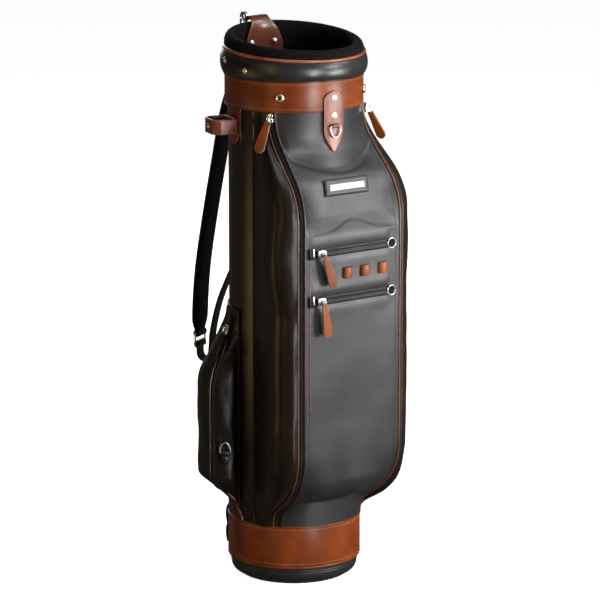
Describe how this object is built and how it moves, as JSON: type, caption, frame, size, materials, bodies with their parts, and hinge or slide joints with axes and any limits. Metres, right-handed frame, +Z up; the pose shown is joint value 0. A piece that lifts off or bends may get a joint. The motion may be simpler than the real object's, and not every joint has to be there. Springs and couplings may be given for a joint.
{
  "type": "golf staff bag",
  "caption": "Upright leather golf staff bag with a fur-lined divided mouth, bulging zipped front pocket, side pocket, umbrella loop and padded shoulder strap on snap hooks.",
  "frame": {"origin": "centre of the underside of the base, on the floor", "axes": "+Z up along the bag, -Y out of the front pocket, +X to the right seen from the front (so the umbrella loop and the side pocket are on -X)"},
  "size_m": [0.2784, 0.3869, 0.8752],
  "materials": {
    "black_leather": "smooth, semi-gloss",
    "tan_leather": "smooth, semi-gloss, stitched",
    "fur": "short velvety pile",
    "plastic": "satin",
    "bright_metal": "polished nickel",
    "brass": "polished",
    "steel": "satin"
  },
  "bodies": {
    "bag": {"body_cover": "black_leather", "cuff_roll": "black_leather", "roll_patch_left": "black_leather", "roll_patch_right": "black_leather", "front_panel": "black_leather", "front_gusset_left": "black_leather", "front_gusset_right": "black_leather", "umbrella_tip_cup": "black_leather", "side_pocket": "black_leather", "base_band": "tan_leather", "collar_band": "tan_leather", "tee_loop_1": "tan_leather", "tee_loop_2": "tan_leather", "tee_loop_3": "tan_leather", "collar_tab": "tan_leather", "umbrella_tab": "tan_leather", "umbrella_loop": "tan_leather", "base_patch": "tan_leather", "pocket_ring_tab": "tan_leather", "strap_lug": "tan_leather", "strap_chape_lower": "tan_leather", "fur_cuff": "fur", "club_divider": "fur", "base_foot": "plastic", "base_cup": "plastic", "liner_tube": "plastic", "top_hoop": "plastic", "side_zip_tape_left": "plastic", "side_zip_tape_right": "plastic", "face_zip_upper": "plastic", "face_zip_lower": "plastic", "pocket_zip": "plastic", "zip_eyelet_upper": "bright_metal", "zip_eyelet_lower": "bright_metal", "badge_plate": "bright_metal", "tab_rivet_upper": "bright_metal", "tab_rivet_lower": "bright_metal", "lug_rivet_left": "bright_metal", "lug_rivet_right": "bright_metal", "hood_snap_left": "brass", "hood_snap_right": "brass", "strap_ring_upper": "steel", "strap_ring_lower": "steel"},
    "strap": {"strap_hook_upper": "steel", "strap_pad": "black_leather", "strap_link": "steel", "strap_lower": "black_leather", "strap_hook_lower": "steel"},
    "face_slider_upper": {"face_slider_upper": "bright_metal"},
    "face_pull_upper": {"face_pull_upper": "tan_leather"},
    "face_slider_lower": {"face_slider_lower": "bright_metal"},
    "face_pull_lower": {"face_pull_lower": "tan_leather"},
    "side_slider_left": {"side_slider_left": "bright_metal"},
    "side_pull_left": {"side_pull_left": "tan_leather"},
    "side_slider_right": {"side_slider_right": "bright_metal"},
    "side_pull_right": {"side_pull_right": "tan_leather"},
    "pocket_slider": {"pocket_slider": "bright_metal"},
    "pocket_pull": {"pocket_pull": "black_leather"},
    "pocket_ring": {"pocket_ring": "bright_metal"},
    "collar_ring": {"collar_ring": "bright_metal"}
  },
  "joints": [
    {"name": "strap_swing", "type": "hinge", "parent": "bag", "child": "strap", "pos_m": [0, 0.133, 0.6], "axis": [0, 0, 1], "range_deg": [-35, 35]},
    {"name": "face_zip_upper_slide", "type": "slide", "parent": "bag", "child": "face_slider_upper", "axis": [1, 0, 0], "range_m": [0, 0.115]},
    {"name": "face_pull_upper_swing", "type": "hinge", "parent": "face_slider_upper", "child": "face_pull_upper", "pos_m": [-0.063, -0.1658, 0.5445], "axis": [-1, 0, 0], "range_deg": [-4, 150]},
    {"name": "face_zip_lower_slide", "type": "slide", "parent": "bag", "child": "face_slider_lower", "axis": [1, 0, 0], "range_m": [0, 0.115]},
    {"name": "face_pull_lower_swing", "type": "hinge", "parent": "face_slider_lower", "child": "face_pull_lower", "pos_m": [-0.063, -0.1658, 0.4705], "axis": [-1, 0, 0], "range_deg": [-4, 150]},
    {"name": "side_zip_left_slide", "type": "hinge", "parent": "bag", "child": "side_slider_left", "pos_m": [-0.09554, -0.15316, 0.757], "axis": [-0.9952, 0.0979, 0], "range_deg": [0, 23]},
    {"name": "side_pull_left_swing", "type": "hinge", "parent": "side_slider_left", "child": "side_pull_left", "pos_m": [-0.09409, -0.06542, 0.74109], "axis": [-0.5434, 0.8245, 0.158], "range_deg": [0, 100]},
    {"name": "side_zip_right_slide", "type": "hinge", "parent": "bag", "child": "side_slider_right", "pos_m": [0.09554, -0.15316, 0.757], "axis": [-0.9952, -0.0979, 0], "range_deg": [0, 23]},
    {"name": "side_pull_right_swing", "type": "hinge", "parent": "side_slider_right", "child": "side_pull_right", "pos_m": [0.09409, -0.06542, 0.74109], "axis": [-0.5512, -0.8267, -0.1129], "range_deg": [0, 100]},
    {"name": "pocket_zip_slide", "type": "slide", "parent": "bag", "child": "pocket_slider", "axis": [-0.3958, -0.051, -0.9169], "range_m": [0, 0.04]},
    {"name": "pocket_pull_swing", "type": "hinge", "parent": "pocket_slider", "child": "pocket_pull", "pos_m": [-0.11893, 0.0196, 0.40112], "axis": [-0.0102, 0.9986, -0.0512], "range_deg": [-4, 100]},
    {"name": "pocket_ring_swing", "type": "hinge", "parent": "bag", "child": "pocket_ring", "pos_m": [-0.13255, -0.00021, 0.209], "axis": [0.8775, -0.4796, 0], "range_deg": [0, 100]},
    {"name": "collar_ring_swing", "type": "hinge", "parent": "bag", "child": "collar_ring", "pos_m": [-0.00396, -0.11333, 0.7275], "axis": [-0.9994, 0.0349, 0], "range_deg": [0, 100]}
  ]
}
